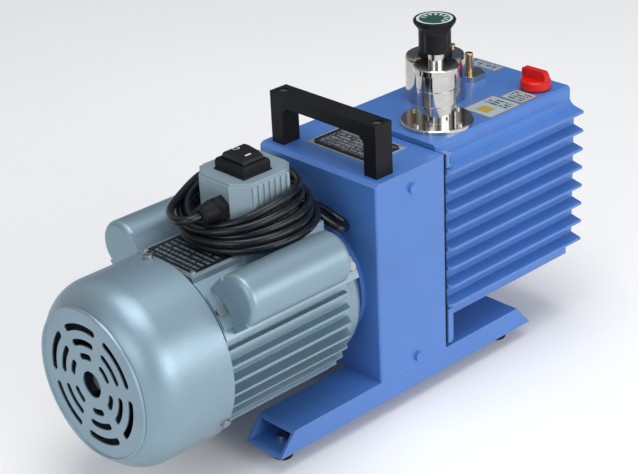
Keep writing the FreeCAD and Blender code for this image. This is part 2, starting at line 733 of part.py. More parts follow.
def capacitor_covers():
    rear, front = s.bracket_front - s.cover_rear, s.bracket_front - s.cover_front
    centre = (-s.cover_offset, s.axis_height + s.cover_height)
    wall = s.cover_wall
    crown = round_ended(rear, front, s.cover_radius, s.cover_rounding)
    skirt = prism("yz", capacitor_cover_section(0), rear, front)
    room = round_ended(rear + wall, front - wall, s.cover_radius - wall, s.cover_rounding - wall)
    skirt_room = prism("yz", capacitor_cover_section(1.5), rear + wall, front - wall)
    seat = on_axis(-s.cover_rear - 20, -s.cover_front + 20, s.saddle_radius)
    height = s.axis_height + s.cover_height
    tab = common(
        cut(on_axis(-s.cover_rear - 9, -s.cover_rear + 1, s.saddle_radius + wall),
            on_axis(-s.cover_rear - 10, -s.cover_rear + 2, s.saddle_radius - 1)),
        block((rear - 9, rear + 1), (-73, -51), (height - 24, height)))
    angle, along, lift = COVER_SCREWS[0]
    hole = doc.addObject("Part::Cylinder", "ScrewHole")
    bind(hole, Radius=M5_HOLE, Height=8)
    spot = around_axis(angle, s.saddle_radius + 4, -s.bracket_front + along)
    hole.Placement = Placement(spot, Rotation(Vector(0, 0, 1), Vector(*inwards(angle))))
    near = cut(fuse(crown, skirt, tab), room, skirt_room, seat, hole)
    node("capacitor_cover_near", near)
    node("capacitor_cover_far", mirrored(near))
    can = rod("x", rear + 8, front - 8, centre, s.capacitor_radius)
    node("capacitors", group(can, mirrored(can)))


# ---------------------------------------------------------------- shaft coupling

def jaws(low, high, first):
    parts = []
    for k in range(3):
        jaw = doc.addObject("Part::Cylinder", "Jaw")
        bind(jaw, Radius=s.coupling_radius, Height=high - low, Angle=s.jaw_angle)
        turn = Rotation(Vector(1, 0, 0), first + 120 * k).multiply(TURN["x"])
        place(jaw, s.bracket_front + low, 0, s.axis_height, turn)
        parts.append(jaw)
    core = on_axis(low - 1, high + 1, s.jaw_inner)
    return cut(group(*parts), core)


def coupling():
    start, disc, jaw = s.coupling_start, s.coupling_disc, s.coupling_jaw
    step = start + disc
    end = step + jaw
    radius, shaft = s.coupling_radius, s.shaft_radius
    driver = fuse(on_axis(start, step, radius), jaws(step - 0.5, end - 0.3, 0))
    node("motor_coupling_half", cut(driver, on_axis(start - 1, step + 1, shaft)))
    driven = fuse(on_axis(end, end + disc, radius), jaws(step + 0.3, end + 0.5, 60))
    node("pump_coupling_half", cut(driven, on_axis(end - 1, end + disc + 1, shaft)))
    star = cut(on_axis(step + 0.3, end - 0.3, radius - 0.5),
               jaws(step - 1, end + 1, 0), jaws(step - 1, end + 1, 60))
    node("coupling_spider", cut(star, on_axis(step, end, s.jaw_inner - 5)))


# ---------------------------------------------------------------- pump stages

def stage_places():
    start = s.bracket_length
    middle = start + s.high_stage
    low = middle + s.plate
    end = low + s.low_stage
    return start, middle, low, end


PUMP_BOLT_CIRCLE = 44.0
PUMP_BOLT_RADIUS = 3.0


def pump_bolt_spots():
    height = s.axis_height - s.stage_drop
    reach = PUMP_BOLT_CIRCLE * math.sqrt(0.5)
    return [(a * reach, height + b * reach) for a in (-1, 1) for b in (-1, 1)]


def stage_ring(low, high, bore):
    """Pump body slice round the lowered stage axis, drilled for the long bolts."""
    x = (s.bracket_front + low, s.bracket_front + high)
    middle = (0, s.axis_height - s.stage_drop)
    ring = rod("x", x[0], x[1], middle, s.stator_radius)
    tools = [rod("x", x[0] - 1, x[1] + 1, spot, PUMP_BOLT_RADIUS + 0.2)
             for spot in pump_bolt_spots()]
    tools.append(block((x[0] - 1, x[1] + 1), (-40, 40), (s.stator_flat, s.stator_flat + 20)))
    if bore is None:
        tools.append(on_axis(low - 1, high + 1, s.shaft_radius + s.shaft_play))
    else:
        tools.append(rod("x", x[0] - 1, x[1] + 1, middle, bore))
    return cut(ring, *tools)


def pump_stages():
    start, middle, low, end = stage_places()
    node("high_stage_stator", stage_ring(start, middle, s.stator_bore))
    node("low_stage_stator", stage_ring(low, end, s.stator_bore))
    node("stage_plates", group(stage_ring(middle, low, None),
                               stage_ring(end, end + s.plate, None)))
    bolts = [screw((float(s.bracket_front + end + s.plate), float(y), float(z)), (-1, 0, 0),
                   (5.0, 4.0), (PUMP_BOLT_RADIUS, end + s.plate - start))
             for y, z in pump_bolt_spots()]
    node("pump_bolts", group(*bolts))
    reeds = [block((s.bracket_front + a + 6, s.bracket_front + b - 6), (-8, 8),
                   (s.stator_flat, s.stator_flat + 0.8)) for a, b in ((start, middle), (low, end))]
    node("exhaust_reeds", group(*reeds))


def pump_rotor():
    start, middle, low, end = stage_places()
    play, drum, shaft = s.drum_play, s.drum_radius, s.shaft_radius
    first = s.coupling_start + s.coupling_disc + s.coupling_jaw + 4
    shape = turned_on_axis([
        (first, 0.0), (first, shaft), (start + play, shaft), (start + play, drum),
        (middle - play, drum), (middle - play, shaft), (low + play, shaft), (low + play, drum),
        (end - play, drum), (end - play, shaft), (end + s.plate - 1, shaft),
        (end + s.plate - 1, 0.0)])
    slots, vanes = [], []
    for a, b in ((start + play, middle - play), (low + play, end - play)):
        x = (s.bracket_front + a, s.bracket_front + b)
        slots.append(block(x, (-s.vane_slot, s.vane_slot),
                           (s.axis_height - drum - 1, s.axis_height + drum + 1)))
        for side in (-1, 1):
            ends = sorted((float(side * s.vane_root), float(side * (drum - 0.1))))
            heights = [s.axis_height + e for e in ends]
            vanes.append(block(x, (-s.vane_half, s.vane_half), heights))
    node("pump_rotor", cut(shape, *slots))
    node("pump_vanes", group(*vanes))


def shaft_seal():
    end = s.bracket_length - s.rear_wall
    ring = cut(on_axis(end - 8, end, 21.0), on_axis(end - 9, end + 1, s.shaft_radius + s.shaft_play))
    node("shaft_seal", ring)


# ---------------------------------------------------------------- oil tank

TANK_FINS = 8
FLANGE_SLOT = (224.5, 232.5)


def tank_comb():
    """The near side's fins as one toothed strip rooted inside the tank wall."""
    root = -(s.tank_half_wall - 3)
    wall = -s.tank_half_wall
    points = [(root, s.fin_tip_height + 6)]
    for k in range(TANK_FINS):
        height = s.fin_tip_height - k * s.fin_pitch
        points += [(wall, height + s.fin_root_half), (-s.fin_tip, height + s.fin_tip_half),
                   (-s.fin_tip, height - s.fin_tip_half), (wall, height - s.fin_root_half)]
    points.append((root, s.fin_tip_height - (TANK_FINS - 1) * s.fin_pitch - 6))
    return prism("yz", points, tank_front, tank_rear)


def oil_tank():
    half_top, half_wall, half_foot = s.tank_half_top, s.tank_half_wall, s.tank_half_foot
    right = [(half_foot, s.tank_bottom), (half_foot, s.tank_step), (half_wall, s.tank_step + 6),
             (half_wall, s.tank_slant_foot), (half_top, s.tank_slant_top),
             (half_top, s.tank_top - 2.5), (half_top - 2.5, s.tank_top)]
    section = right + [(-y, z) for y, z in reversed(right)]
    body = prism("yz", section, tank_front, tank_rear)
    edge = tank_front + s.tank_flange - s.gasket
    half = s.tank_flange_half
    lower = prism("xz", [
        (tank_front, s.tank_flange_foot), (edge - 2.5, s.tank_flange_foot),
        (edge, s.tank_flange_foot + 2.5), (edge, s.lower_flange_top),
        (tank_front, s.lower_flange_top)], -half, half)
    upper = cut(block((tank_front, edge), (-half, half), (s.upper_flange_foot, s.bracket_top)),
                block((edge - 2, edge - 0.8), (-half - 1, 1.8 - half), FLANGE_SLOT),
                block((edge - 2, edge - 0.8), (half - 1.8, half + 1), FLANGE_SLOT))
    nose = prism("xy", [(tank_front - 1, -s.fin_tip - 1), (tank_front + 4, -s.fin_tip - 1),
                        (tank_front - 1, 4 - s.fin_tip)], s.tank_bottom, s.bracket_top)
    comb = cut(tank_comb(), nose)
    room = block((tank_front - 1, tank_rear - s.cavity_rear_wall),
                 (-s.cavity_half_width, s.cavity_half_width), (s.cavity_floor, s.cavity_roof))
    roof = (s.cavity_roof - 1, s.tank_top + 1)
    x = s.bracket_front
    ports = [
        rod("z", *roof, (x + s.inlet_x, s.inlet_y), 14.8),
        rod("z", *roof, (x + s.ballast_x, s.ballast_y), 10.2),
        rod("z", *roof, (x + s.exhaust_x, s.exhaust_y), 6.2),
        rod("z", *roof, (x + s.filler_x, s.filler_y), s.filler_stem + 0.4),
        rod("x", tank_rear - 10, tank_rear + 1, (s.glass_y, s.glass_z), s.glass_radius - 3),
        rod("x", tank_rear - 10, tank_rear + 1, (s.drain_y, s.drain_z), 6.2),
    ]
    for spot in inlet_screw_spots():
        ports.append(rod("z", s.tank_top - 6, s.tank_top + 1, spot, 1.8))
    node("oil_tank", cut(fuse(body, lower, upper, comb, mirrored(comb)), room, *ports))


def tank_gasket():
    plate = block((bracket_rear, tank_front), (0.8 - half_bracket, half_bracket - 0.8),
                  (s.tank_flange_foot + 1, s.bracket_top - 0.8))
    window = block((bracket_rear - 1, tank_front + 1),
                   (-s.cavity_half_width, s.cavity_half_width), (s.cavity_floor, s.cavity_roof - 8))
    node("tank_gasket", cut(plate, window))


LABELS = (((171, 215), (-58, -22)), ((217.5, 241.3), (-56, -29)), ((265, 280), (19, 53)))


def tank_labels():
    plates = []
    for x, y in LABELS:
        plates.append(block([s.bracket_front + a for a in x], y, (s.tank_top, s.tank_top + 0.3)))
    node("tank_labels", group(*plates))


# ---------------------------------------------------------------- ports on the tank

def inlet_screw_spots():
    spots = []
    for k in range(4):
        turn = math.radians(90 * k)
        spots.append((s.bracket_front + s.inlet_x + s.inlet_screw_circle * math.cos(turn),
                      s.inlet_y + s.inlet_screw_circle * math.sin(turn)))
    return spots


def vacuum_inlet():
    top, tube, foot = s.tank_top, s.inlet_tube_radius, s.inlet_foot_radius
    collar, shoulder = s.inlet_collar, s.inlet_shoulder
    bore = s.inlet_bore
    nozzle = turned("z", [
        (top - 9, bore), (top - 9, 14.5), (top, 14.5), (top, s.inlet_flange_radius),
        (top + s.inlet_flange - 1, s.inlet_flange_radius),
        (top + s.inlet_flange, s.inlet_flange_radius - 1), (top + s.inlet_flange, foot),
        (top + 19.5, foot), (top + 20, foot - 0.6), (top + 20.5, tube - 0.4),
        (top + 34.5, tube - 0.4),
        (top + 35, tube - 1), (top + 35.5, tube), (top + collar - 0.5, tube),
        (top + collar, s.inlet_collar_radius), (top + shoulder - 1, s.inlet_collar_radius),
        (top + shoulder, s.inlet_collar_radius - 1), (top + shoulder, s.neck_radius),
        (top + s.cap_foot - 0.5, s.neck_radius), (top + s.cap_foot - 0.5, s.tail_radius),
        (top + s.neck_height, s.tail_radius), (top + s.neck_height, bore)],
        s.bracket_front + s.inlet_x, s.inlet_y)
    holes = [rod("z", top - 1, top + s.inlet_flange + 1, spot, 1.8) for spot in inlet_screw_spots()]
    node("inlet_nozzle", cut(nozzle, *holes))
    screws = [screw((x, y, top + s.inlet_flange), (0, 0, -1), (3.0, 1.8), (1.6, 8.0))
              for x, y in inlet_screw_spots()]
    node("inlet_screws", group(*screws))
    inside = s.tail_radius + s.cap_play
    node("inlet_cap", turned("z", [
        (top + s.cap_foot, inside), (top + s.cap_foot, s.cap_radius),
        (top + s.cap_height - 1.5, s.cap_radius), (top + s.cap_height, s.cap_radius - 1.5),
        (top + s.cap_height, 0.0), (top + s.neck_height + 0.3, 0.0),
        (top + s.neck_height + 0.3, inside)],
        s.bracket_front + s.inlet_x, s.inlet_y))


# The knob's pointer sweeps over half a turn inside the ring of the two screw heads.
BALLAST_SCREW_OFFSET = 23.4
BALLAST_SCREW_HEAD = 3.3
KNOB_POINTER_REACH = 18.6
KNOB_POINTER_ANGLE = 137.0
KNOB_POINTER_ROOT = 8.0
KNOB_POINTER_END = 5.5
KNOB_POINTER_HEIGHT = 24.0


def gas_ballast():
    x, y, top = s.bracket_front + s.ballast_x, s.ballast_y, s.tank_top
    roof, rim = top + s.ballast_height, s.ballast_rim
    stem = s.stem_radius
    body = turned("z", [
        (top - 8, stem + 0.3), (top - 8, 10.0), (top, 10.0), (top, s.ballast_radius),
        (roof - rim, s.ballast_radius), (roof - 0.8, s.ballast_radius - 1),
        (roof, s.ballast_radius - rim), (roof, stem + 0.3)], x, y)
    spots = [(x + side * BALLAST_SCREW_OFFSET, y) for side in (-1, 1)]
    holes = [rod("z", roof - 12, roof + 1, spot, 2.2) for spot in spots]
    node("ballast_body", cut(body, *holes))
    screws = [screw((a, b, roof), (0, 0, -1), (BALLAST_SCREW_HEAD, 2.4), (2.0, 10.0)) for a, b in spots]
    node("ballast_screws", group(*screws))
    low = roof + 0.3
    peak = top + s.knob_top
    grip = turned("z", [
        (roof - 14, 0.0), (roof - 14, stem), (low, stem), (low, s.knob_radius + 1),
        (low + 6, s.knob_radius), (peak - 10, s.knob_radius), (peak - 4, s.knob_flare_radius - 0.6),
        (peak - 1.5, s.knob_flare_radius), (peak, s.knob_flare_radius - 1),
        (peak, s.dial_radius), (peak - s.dial, s.dial_radius), (peak - s.dial, 0.0)], x, y)
    pointer = doc.addObject("Part::Wedge", "Pointer")
    root, end, height = KNOB_POINTER_ROOT, KNOB_POINTER_END, KNOB_POINTER_HEIGHT
    bind(pointer, Xmin=-root, Xmax=root, X2min=-end, X2max=end, Ymin=0, Ymax=KNOB_POINTER_REACH,
         Zmin=0, Zmax=height, Z2min=0, Z2max=height - 2)
    place(pointer, x, y, low, Rotation(Vector(0, 0, 1), KNOB_POINTER_ANGLE))
    node("ballast_knob", fuse(grip, pointer))
    node("ballast_dial", rod("z", peak - s.dial, peak - 0.2, (x, y), s.dial_radius - 0.2))


def exhaust_port():
    x, y, top = s.bracket_front + s.exhaust_x, s.exhaust_y, s.tank_top
    seat = top + s.union_height
    nut = fuse(hexagon("z", top, seat, (x, y), s.union_radius),
               rod("z", top - 7, top + 1, (x, y), 6.0))
    node("exhaust_union", cut(nut, rod("z", top - 8, seat + 1, (x, y), 3.2)))
    nozzle = turned("z", [
        (top - 4, s.nozzle_bore), (top - 4, 3.1), (seat, 3.1), (seat, s.nozzle_radius),
        (top + s.nozzle_height - 1.6, s.nozzle_radius),
        (top + s.nozzle_height - 0.5, s.nozzle_radius - 0.5),
        (top + s.nozzle_height, s.nozzle_radius - 1.4), (top + s.nozzle_height, s.nozzle_bore)],
        x, y)
    node("exhaust_nozzle", nozzle)


def oil_filler():
    x, y, top = s.bracket_front + s.filler_x, s.filler_y, s.tank_top
    low = top + s.seal_height
    high = low + s.filler_disc
    plug = turned("z", [
        (top - s.filler_reach, 0.0), (top - s.filler_reach, s.filler_stem), (low, s.filler_stem),
        (low, s.filler_radius), (high - 1.5, s.filler_radius), (high, s.filler_radius - 1.5),
        (high, 0.0)], x, y)
    half, thick = s.grip_length / 2, s.grip_thickness / 2
    grip = prism("yz", [
        (y - half + 1, high - 2), (y + half - 1, high - 2), (y + half, high + s.grip_height - 2),
        (y + half - 1.5, high + s.grip_height), (y - half + 3, high + s.grip_height),
        (y - half, high + s.grip_height - 4)], x - thick, x + thick)
    node("filler_plug", fuse(plug, grip))
    ring = cut(rod("z", top + 0.05, low - 0.05, (x, y), s.filler_radius - 1.2),
               rod("z", top - 1, low + 1, (x, y), s.filler_stem + 0.4))
    node("filler_seal", ring)


def rear_fittings():
    x = tank_rear
    centre = (s.glass_y, s.glass_z)
    bezel = cut(rod("x", x, x + 6, centre, s.glass_ring),
                rod("x", x - 1, x + 7, centre, s.glass_radius - 3),
                rod("x", x - 1, x + 4, centre, s.glass_radius))
    node("sight_glass_ring", bezel)
    node("sight_glass", rod("x", x, x + 4, centre, s.glass_radius))
    centre = (s.drain_y, s.drain_z)
    node("drain_plug", fuse(rod("x", x - 9, x + 2, centre, 6.0),
                            rod("x", x, x + 2, centre, 11.0),
                            hexagon("x", x + 2, x + 8, centre, 9.0)))


# ---------------------------------------------------------------- switch box

def octagon(inset):
    """Plan of the switch box inside its walls by inset."""
    x, a, b = s.bracket_front + s.box_x, s.box_half_length - inset, s.box_half_width - inset
    cut_off = s.box_chamfer - 0.59 * inset
    return [(x - a, cut_off - b), (x - a + cut_off, -b), (x + a - cut_off, -b),
            (x + a, cut_off - b), (x + a, b - cut_off), (x + a - cut_off, b),
            (x - a + cut_off, b), (x - a, b - cut_off)]


def bezel_room(play):
    x, y = s.bracket_front + s.bezel_x, s.bezel_y
    inset = s.bezel_lip - play
    return ((x - s.bezel_half_length + inset, x + s.bezel_half_length - inset),
            (y - s.bezel_half_width + inset, y + s.bezel_half_width - inset))


def bezel_shell(x, y):
    """Skirted frame of the switch above the lid, its upper edges bevelled."""
    low, high, skirt = s.box_top, s.bezel_top, s.bezel_skirt
    long, wide = s.bezel_half_length, s.bezel_half_width
    base = block((x - long - 0.8, x + long + 0.8), (y - wide - 0.8, y + wide + 0.8),
                 (low, low + skirt))
    lengthways = prism("xz", [(x - long, low), (x + long, low), (x + long, high - 2.4),
                              (x + long - 1.0, high), (x - long + 1.0, high),
                              (x - long, high - 2.4)], y - wide, y + wide)
    crossways = prism("yz", [(y - wide, low), (y + wide, low), (y + wide, high - 2.4),
                             (y + wide - 1.0, high), (y - wide + 1.0, high),
                             (y - wide, high - 2.4)], x - long, x + long)
    return fuse(base, common(lengthways, crossways))


BOX_RIBS = 7
RIB_PITCH = 6.4
RIB_HALF_WIDTH = 1.7
RIB_HEIGHT = 1.3


def box_ribs(low, high):
    """Upright ribs on both long walls of the switch box."""
    ribs = []
    for k in range(BOX_RIBS):
        x = s.bracket_front + s.box_x + (k - (BOX_RIBS - 1) / 2) * RIB_PITCH
        for side in (-1, 1):
            faces = sorted((float(side * (s.box_half_width - 0.5)),
                            float(side * (s.box_half_width + RIB_HEIGHT))))
            ribs.append(block((x - RIB_HALF_WIDTH, x + RIB_HALF_WIDTH), faces, (low, high)))
    return ribs


ROCKER_PIVOT = 265.0
ROCKER_PLAY = 0.6
ROCKER_TILT = 8.0


def switch_box():
    low, split, top, wall = s.pad_top, s.box_split, s.box_top, s.box_wall
    gland_hole = rod("x", s.bracket_front + s.box_x - s.box_half_length - 1,
                     s.bracket_front + s.box_x - s.box_half_length + wall + 1,
                     (s.gland_y, s.gland_height), 7.0)
    walls = fuse(prism("xy", octagon(0), low, split), *box_ribs(low + 2, split))
    node("switch_box", cut(walls, prism("xy", octagon(wall), low + wall, split + 1), gland_hole))
    rim = top - s.box_edge
    lid = fuse(prism("xy", octagon(0), split, rim), prism("xy", octagon(s.box_edge), rim, top),
               *box_ribs(split, rim - 0.5))
    x, y = bezel_room(0)
    node("switch_lid", cut(lid, prism("xy", octagon(wall), split - 1, rim - 1),
                           block(x, y, (split, top + 1))))
    x, y = s.bracket_front + s.bezel_x, s.bezel_y
    flange = bezel_shell(x, y)
    inside = bezel_room(-0.2)
    plug = block(inside[0], inside[1], (split - 6, top + 1))
    room = bezel_room(-1.8)
    node("switch_bezel", cut(fuse(flange, plug),
                             block(room[0], room[1], (split - 3, s.bezel_top + 1))))
    low_x, high_x = room[0][0] + ROCKER_PLAY, room[0][1] - ROCKER_PLAY
    reach = (room[1][1] - room[1][0]) / 2 - ROCKER_PLAY
    peak = s.rocker_top - ROCKER_PIVOT
    paddle = prism("yz", [
        (1.4 - reach, 3.0), (3 - reach, -5.0), (reach - 3, -5.0), (reach - 1.4, 3.0),
        (reach - 1.4, peak - 4.2), (reach - 3.2, peak - 1.6), (reach * 0.4, peak - 0.4),
        (reach * -0.4, peak - 0.4), (3.2 - reach, peak - 1.6), (1.4 - reach, peak - 4.2)],
        low_x, high_x)
    place(paddle, low_x, y, ROCKER_PIVOT, Rotation(Vector(1, 0, 0), ROCKER_TILT))
    node("switch_rocker", paddle)


def cable_gland():
    face = s.bracket_front + s.box_x - s.box_half_length
    hexed = face - s.gland_hex_length
    tip = face - s.gland_length
    centre = (s.gland_y, s.gland_height)
    dome = turned("x", [
        (tip, s.cord_radius), (tip, s.cord_radius + 2), (tip + 3, 8.0), (hexed - 4, 9.6),
        (hexed, 9.6), (hexed, s.cord_radius)], 0, s.gland_y, s.gland_height)
    body = fuse(hexagon("x", hexed, face, centre, s.gland_hexagon),
                rod("x", face - 1, face + s.box_wall + 3, centre, 6.8))
    bore = rod("x", hexed - 1, face + s.box_wall + 4, centre, s.cord_radius)
    node("cable_gland", fuse(dome, cut(body, bore)))


# ---------------------------------------------------------------- mains cord

# Corner points of the cord's two free stretches, from the bracket's front face,
# the motor's vertical plane and the floor.
LEAD_ROUTE = [(-143.3, -9, 238), (-150.5, -9, 238), (-156.5, -3.5, 236.2), (-157, 7, 234.2),
              (-152, 19.5, 233), (-143, 31, 232.5), (-132, 39, 232.2)]
TAIL_ROUTE = [(-47.5, 44, 216), (-34, 35, 214), (-24.5, 19, 209.5), (-24.5, 0, 206.8),
              (-25, -17, 204.5), (-24.3, -31.5, 201.5), (-22.2, -40.9, 197),
              (-18.2, -47.9, 193), (-9.4, -46.7, 190.5), (-4.3, -39.1, 191.7),
              (-8.3, -32.1, 195.8), (-6.5, -21, 197.8), (-5.5, -8, 198), (-5.8, 4, 199.5),
              (-8.5, 14, 203.5), (-13, 24, 209)]


def rounded_path(points):
    """Straight runs joined by tangent arcs; returns the path and its arc radii."""
    spots = [Vector(float(s.bracket_front) + x, y, z) for x, y, z in points]
    edges, radii = [], []
    last = spots[0]
    for before, corner, after in zip(spots, spots[1:], spots[2:]):
        a, b = (before - corner), (after - corner)
        shorter = min(a.Length, b.Length)
        a.normalize()
        b.normalize()
        turn = math.pi - a.getAngle(b)
        reach = 0.45 * shorter
        radius = reach / math.tan(turn / 2)
        start, end = corner + a * reach, corner + b * reach
        middle = (a + b).normalize()
        depth = radius / math.cos(turn / 2) - radius
        edges.append(Part.LineSegment(last, start).toShape())
        edges.append(Part.Arc(start, corner + middle * depth, end).toShape())
        radii.append(radius)
        last = end
    edges.append(Part.LineSegment(last, spots[-1]).toShape())
    return Part.Wire(edges), radii


def cord_stretch(name, points):
    path, radii = rounded_path(points)
    first = path.Edges[0]
    way = first.tangentAt(first.FirstParameter)
    circle = Part.makeCircle(float(s.cord_radius), first.Vertexes[0].Point, way)
    solid = path.makePipeShell([Part.Wire([circle])], True, False)
    section = math.pi * float(s.cord_radius) ** 2
    print("%s: length %.0f, radii %s, volume ratio %.4f" % (
        name, path.Length, " ".join("%.0f" % r for r in radii),
        solid.Volume / (section * path.Length)))
    feature = doc.addObject("Part::Feature", "Cord")
    feature.Shape = solid
    node(name, feature)


def cord_coil():
    x = s.bracket_front + s.box_x
    ring = cut(rod("z", s.coil_foot, s.coil_top, (x, 0), s.coil_outer),
               rod("z", s.coil_foot - 1, s.coil_top + 1, (x, 0), s.coil_inner))
    gland_room = block((x - 70, x - 30), (s.gland_y - 14, s.gland_y + 14),
                       (s.gland_height - 14, s.coil_top + 1))
    node("cord_coil", cut(ring, gland_room))


PLUG_X = (-25.0, -2.5)
PLUG_Y = (34.0, 62.0)
PLUG_Z = (203.4, 226.0)


def mains_plug():
    x = [s.bracket_front + a for a in PLUG_X]
    middle_x = (x[0] + x[1]) / 2
    middle_z = (PLUG_Z[0] + PLUG_Z[1]) / 2
    body = prism("yz", [
        (PLUG_Y[0], PLUG_Z[0] + 2), (PLUG_Y[1] - 3, PLUG_Z[0]), (PLUG_Y[1], PLUG_Z[0] + 2),
        (PLUG_Y[1], PLUG_Z[1] - 2), (PLUG_Y[1] - 3, PLUG_Z[1]), (PLUG_Y[0], PLUG_Z[1] - 6)],
        x[0], x[1])
    relief = doc.addObject("Part::Feature", "Relief")
    end = Vector(float(s.bracket_front) + TAIL_ROUTE[-1][0], *TAIL_ROUTE[-1][1:])
    towards = Vector(float(middle_x), PLUG_Y[0] + 1, middle_z) - end
    relief.Shape = Part.makeCone(5.0, 7.0, towards.Length, end, towards)
    pins = [rod("y", PLUG_Y[1] - 1, PLUG_Y[1] + 17, (middle_x + side * 6.3, middle_z), 2.4)
            for side in (-1, 1)]
    node("mains_plug", fuse(body, relief, *pins))


# ---------------------------------------------------------------- assembly

def check_and_write():
    doc.recompute()
    for thing in doc.Objects:
        bad = [state for state in thing.State if state in ("Invalid", "Error")]
        if bad:
            raise RuntimeError("%s (%s) is %s" % (thing.Label, thing.TypeId, bad))
    os.makedirs("parts", exist_ok=True)
    for thing in NODES:
        shape = thing.Shape
        if shape.isNull() or not shape.isValid() or not shape.Solids:
            raise RuntimeError("%s has no valid solid" % thing.Label)
        shape.exportStep("parts/%s.step" % thing.Label)
    print("%d nodes" % len(NODES))


BUILDERS = (
    foot_rails, rubber_feet, feet_screws, pump_bracket, handle, nameplates,
    fan_cowl, housing_screws, motor_frame, end_shields, motor_inside, cooling_fan,
    capacitor_covers, coupling, pump_stages, pump_rotor, shaft_seal, oil_tank, tank_gasket,
    tank_labels, vacuum_inlet, gas_ballast, exhaust_port, oil_filler, rear_fittings,
    switch_box, cable_gland, cord_coil, mains_plug,
)

for build in BUILDERS:
    build()
cord_stretch("cord_lead", LEAD_ROUTE)
cord_stretch("cord_tail", TAIL_ROUTE)
check_and_write()
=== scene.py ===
import json
import math

import bpy
from mathutils import Matrix, Vector


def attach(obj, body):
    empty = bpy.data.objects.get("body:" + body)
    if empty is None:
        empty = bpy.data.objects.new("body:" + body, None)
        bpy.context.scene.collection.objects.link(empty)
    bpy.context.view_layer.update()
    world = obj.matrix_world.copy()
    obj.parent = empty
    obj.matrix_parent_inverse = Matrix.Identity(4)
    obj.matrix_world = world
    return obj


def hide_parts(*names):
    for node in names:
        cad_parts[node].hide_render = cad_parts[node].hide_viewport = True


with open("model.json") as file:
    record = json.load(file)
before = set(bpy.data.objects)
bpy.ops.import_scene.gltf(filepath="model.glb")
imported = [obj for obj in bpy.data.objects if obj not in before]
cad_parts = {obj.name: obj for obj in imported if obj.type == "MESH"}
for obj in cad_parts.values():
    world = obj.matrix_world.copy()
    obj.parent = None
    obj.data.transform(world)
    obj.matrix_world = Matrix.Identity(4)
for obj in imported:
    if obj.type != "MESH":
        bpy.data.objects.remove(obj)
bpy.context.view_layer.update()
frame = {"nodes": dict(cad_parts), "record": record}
NODES = frame["nodes"]
MM = 0.001


def mm(x, y, z):
    return Vector((x * MM, y * MM, z * MM))


# ---------------------------------------------------------------- camera

CAMERA_PLACE = (-976.8, -1044.9, 860.2)
CAMERA_RIGHT = (0.71974, -0.69292, -0.04289)
CAMERA_UP = (0.33347, 0.29086, 0.89677)
CAMERA_LENS = 98.09

bpy.context.scene.view_settings.view_transform = "Standard"
camera_data = bpy.data.cameras.new("camera")
camera_data.lens = CAMERA_LENS
camera_data.sensor_width = 36.0
camera_data.clip_start = 0.05
camera_data.clip_end = 50.0
camera = bpy.data.objects.new("camera", camera_data)
right, up = Vector(CAMERA_RIGHT).normalized(), Vector(CAMERA_UP)
back = right.cross(up).normalized()
up = back.cross(right)
camera_turn = Matrix((right, up, back)).transposed().to_4x4()
camera.matrix_world = Matrix.Translation(mm(*CAMERA_PLACE)) @ camera_turn
bpy.context.scene.collection.objects.link(camera)
bpy.context.scene.camera = camera


# ---------------------------------------------------------------- mains cord

BRACKET_FRONT = -12.7
CORD_RADIUS = 3.75
LEAD_ROUTE = [(-143.3, -9, 238), (-150.5, -9, 238), (-156.5, -3.5, 236.2), (-157, 7, 234.2),
              (-152, 19.5, 233), (-143, 31, 232.5), (-132, 39, 232.2)]
TAIL_ROUTE = [(-47.5, 44, 216), (-34, 35, 214), (-24.5, 19, 209.5), (-24.5, 0, 206.8),
              (-25, -17, 204.5), (-24.3, -31.5, 201.5), (-22.2, -40.9, 197),
              (-18.2, -47.9, 193), (-9.4, -46.7, 190.5), (-4.3, -39.1, 191.7),
              (-8.3, -32.1, 195.8), (-6.5, -21, 197.8), (-5.5, -8, 198), (-5.8, 4, 199.5),
              (-8.5, 14, 203.5), (-13, 24, 209)]
# The wound turns run clockwise seen from above. Each quarter has its own radius and
# height: behind the box, beside the bracket, in front, and under the cable gland.
COIL_X = -96.0
QUARTERS = [(59.5, 237.5), (50.5, 240), (42.5, 241.5), (50, 223.5),
            (51.8, 234.5), (49.5, 232), (47.3, 233.5), (57.5, 222),
            (59, 230), (56, 227.5), (52, 225.6), (51, 215.9),
            (51.8, 226.5), (54, 220), (56.3, 219.3), (58.6, 214.4),
            (59, 222), (60, 215), (60, 212.7), (56, 206.9),
            (58.5, 214.2), (58.5, 216)]
STEPS = 4           # points in each quarter turn
COIL_START = 90.0   # bearing of the first point, in degrees


def between(a, b, c, d, t):
    """Smooth curve from b to c with a and d as its neighbours."""
    return 0.5 * (2 * b + (c - a) * t + (2 * a - 5 * b + 4 * c - d) * t * t
                  + (3 * b - a - 3 * c + d) * t ** 3)


def coil_points():
    points = []
    stretch = 1 / math.cos(math.pi / (4 * STEPS))
    keys = [QUARTERS[0]] + QUARTERS + [QUARTERS[-1]]
    count = (len(QUARTERS) - 1) * STEPS - STEPS // 2
    for i in range(count):
        quarter, part = divmod(i, STEPS)
        four = keys[quarter:quarter + 4]
        radius, height = [between(*[key[k] for key in four], part / STEPS) for k in (0, 1)]
        turn = math.radians(COIL_START - 90.0 * (quarter + part / STEPS))
        reach = radius * stretch
        x = COIL_X - BRACKET_FRONT + reach * math.cos(turn)
        points.append((x, reach * math.sin(turn), height))
    return points


